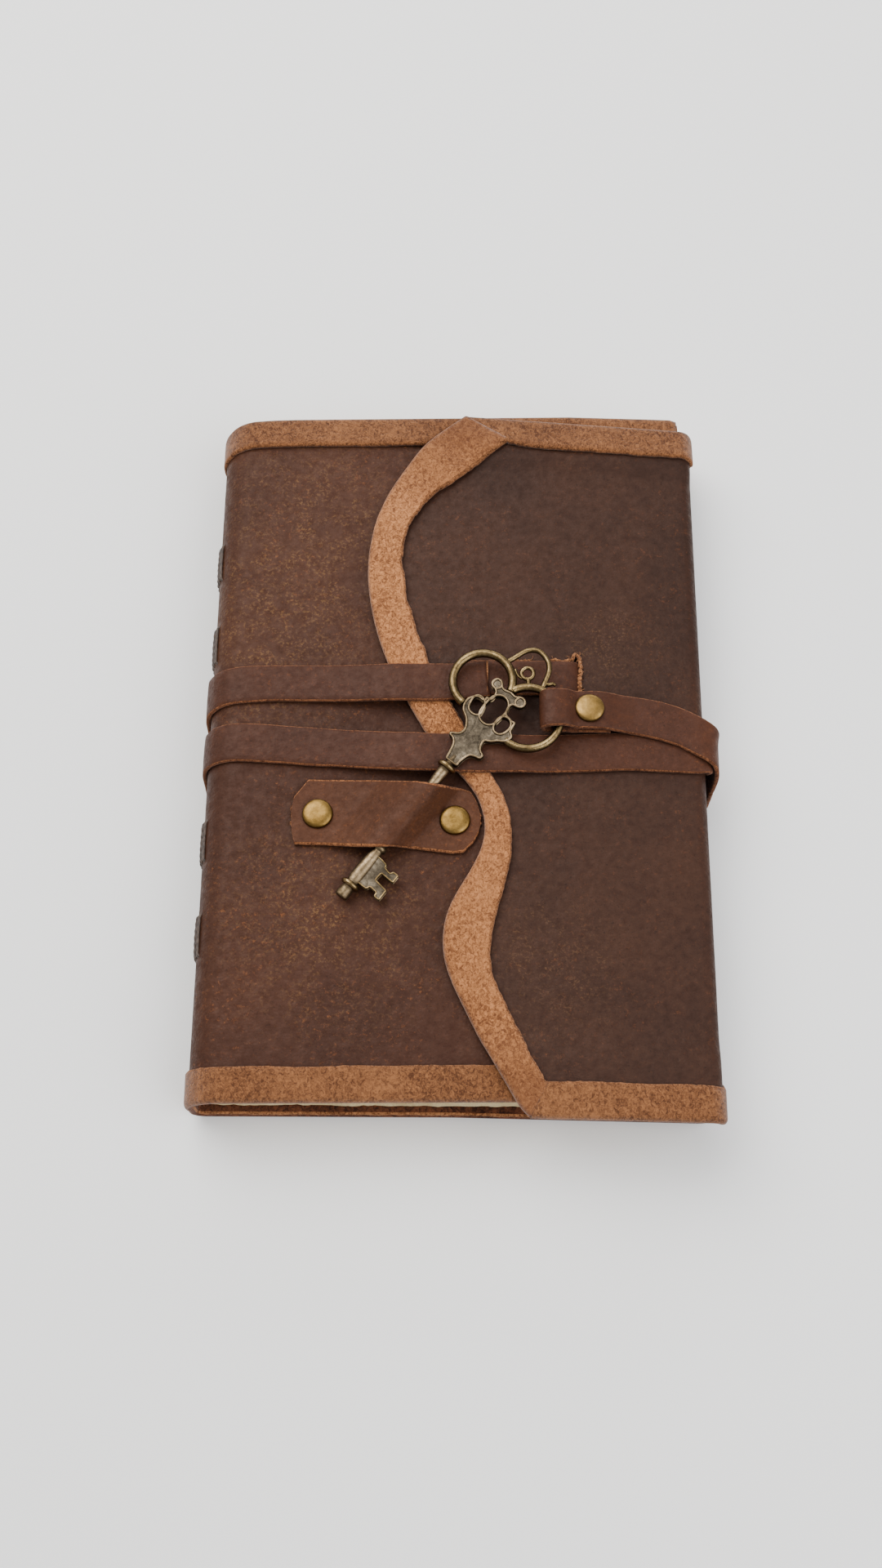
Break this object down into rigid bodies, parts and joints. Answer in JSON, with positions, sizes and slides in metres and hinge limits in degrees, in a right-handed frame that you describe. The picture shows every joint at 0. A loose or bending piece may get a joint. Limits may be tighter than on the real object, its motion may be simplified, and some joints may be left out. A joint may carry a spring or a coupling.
{
  "type": "leather wrap journal",
  "caption": "Hand-sewn leather journal with a fold-over wavy flap, a wrap strap, and a skeleton key that slides under a riveted keeper tab as its closure.",
  "frame": {"origin": "centre of the bounding box in plan, at the level of the lowest point", "axes": "+Z out of the front cover, +Y towards the head of the pages, +X from the spine to the fore-edge"},
  "size_m": [0.128, 0.1884, 0.0297],
  "materials": {
    "cover_leather": "matte",
    "flap_leather": "matte",
    "strap_leather": "satin",
    "page_paper": "matte",
    "waxed_thread": "satin",
    "key_brass": "antique",
    "rivet_brass": "satin"
  },
  "bodies": {
    "back_cover": {"back_cover_leather": "cover_leather", "spine_leather": "cover_leather", "signature_4": "page_paper", "signature_5": "page_paper", "signature_6": "page_paper", "sewing_thread_1": "waxed_thread", "sewing_thread_2": "waxed_thread", "sewing_thread_3": "waxed_thread", "sewing_thread_4": "waxed_thread", "sewing_thread_5": "waxed_thread", "sewing_thread_6": "waxed_thread"},
    "fore_edge": {"fore_edge_leather": "flap_leather"},
    "flap": {"flap_leather": "flap_leather", "strap_anchor": "strap_leather"},
    "front_cover": {"front_cover_leather": "cover_leather", "keeper_tab": "strap_leather", "keeper_rivet_left_cap": "rivet_brass", "keeper_rivet_left_back": "rivet_brass", "keeper_rivet_right_cap": "rivet_brass", "keeper_rivet_right_back": "rivet_brass"},
    "front_pages": {"signature_1": "page_paper", "signature_2": "page_paper", "signature_3": "page_paper"},
    "strap": {"strap": "strap_leather"},
    "key": {"skeleton_key": "key_brass", "strap_rivet_cap": "rivet_brass", "strap_rivet_back": "rivet_brass"}
  },
  "joints": [
    {"name": "front_cover_hinge", "type": "hinge", "parent": "back_cover", "child": "front_cover", "pos_m": [-0.06265, 0.0024, 0.01825], "axis": [0, -1, 0], "range_deg": [0, 181], "deforming": ["keeper_tab"]},
    {"name": "front_pages_hinge", "type": "hinge", "parent": "back_cover", "child": "front_pages", "pos_m": [-0.06115, 0.0024, 0.0185], "axis": [0, -1, 0], "range_deg": [0, 182]},
    {"name": "fore_edge_hinge", "type": "hinge", "parent": "back_cover", "child": "fore_edge", "pos_m": [0.06125, 0.0024, 0.00295], "axis": [0, 1, 0], "range_deg": [0, 85]},
    {"name": "flap_hinge", "type": "hinge", "parent": "fore_edge", "child": "flap", "pos_m": [0.06125, 0.0024, 0.01995], "axis": [0, 1, 0], "range_deg": [0, 96.2], "deforming": ["flap_leather", "strap_anchor"]},
    {"name": "strap_slide", "type": "slide", "parent": "front_cover", "child": "strap", "axis": [0, 0.9998, 0.0175], "range_m": [0, 0.1505], "deforming": ["strap"]},
    {"name": "key_slide", "type": "slide", "parent": "strap", "child": "key", "axis": [0.5446, 0.8387, 0], "range_m": [0, 0.04]}
  ],
  "couplings": [
    {"joint": "front_pages_hinge", "follows": "front_cover_hinge", "ratio": 1},
    {"joint": "fore_edge_hinge", "follows": "front_cover_hinge", "ratio": 0.4657},
    {"joint": "flap_hinge", "follows": "front_cover_hinge", "ratio": 0.5287},
    {"joint": "strap_slide", "follows": "front_cover_hinge", "m_per_rad": 0.04748}
  ]
}
